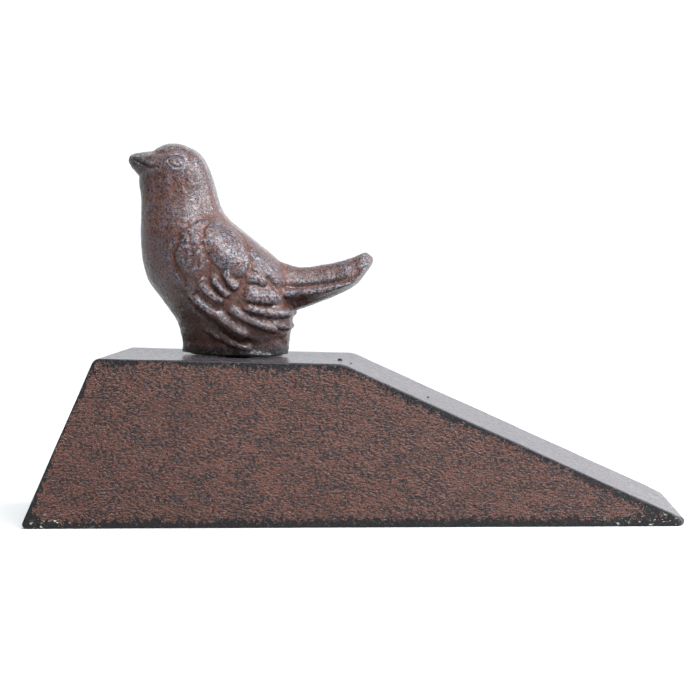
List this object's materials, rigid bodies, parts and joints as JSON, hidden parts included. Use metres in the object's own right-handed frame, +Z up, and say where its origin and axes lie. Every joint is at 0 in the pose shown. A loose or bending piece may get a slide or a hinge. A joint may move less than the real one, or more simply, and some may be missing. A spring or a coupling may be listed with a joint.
{
  "type": "door stop",
  "caption": "Cast-iron wedge door stop with a short flat top, a long ramp to the toe, and a small perched songbird standing on the flat top.",
  "frame": {"origin": "centre of the wedge's footprint, on the floor", "axes": "+X down the ramp towards the toe, +Z up, the bird looks towards -X; the object mirrors in the XZ plane"},
  "size_m": [0.1439, 0.041, 0.0845],
  "materials": {
    "wedge_iron": "sand-cast, antique rust-brown paint over dark iron, semi-gloss",
    "bird_iron": "sand-cast, antique rust-brown paint over dark iron, semi-gloss",
    "screw_steel": "zinc plated",
    "washer_steel": "zinc plated"
  },
  "bodies": {
    "root": {"wedge_casting": "wedge_iron", "bird_casting": "bird_iron", "fixing_screw": "screw_steel", "spring_washer": "washer_steel", "flat_washer": "washer_steel"}
  },
  "joints": []
}
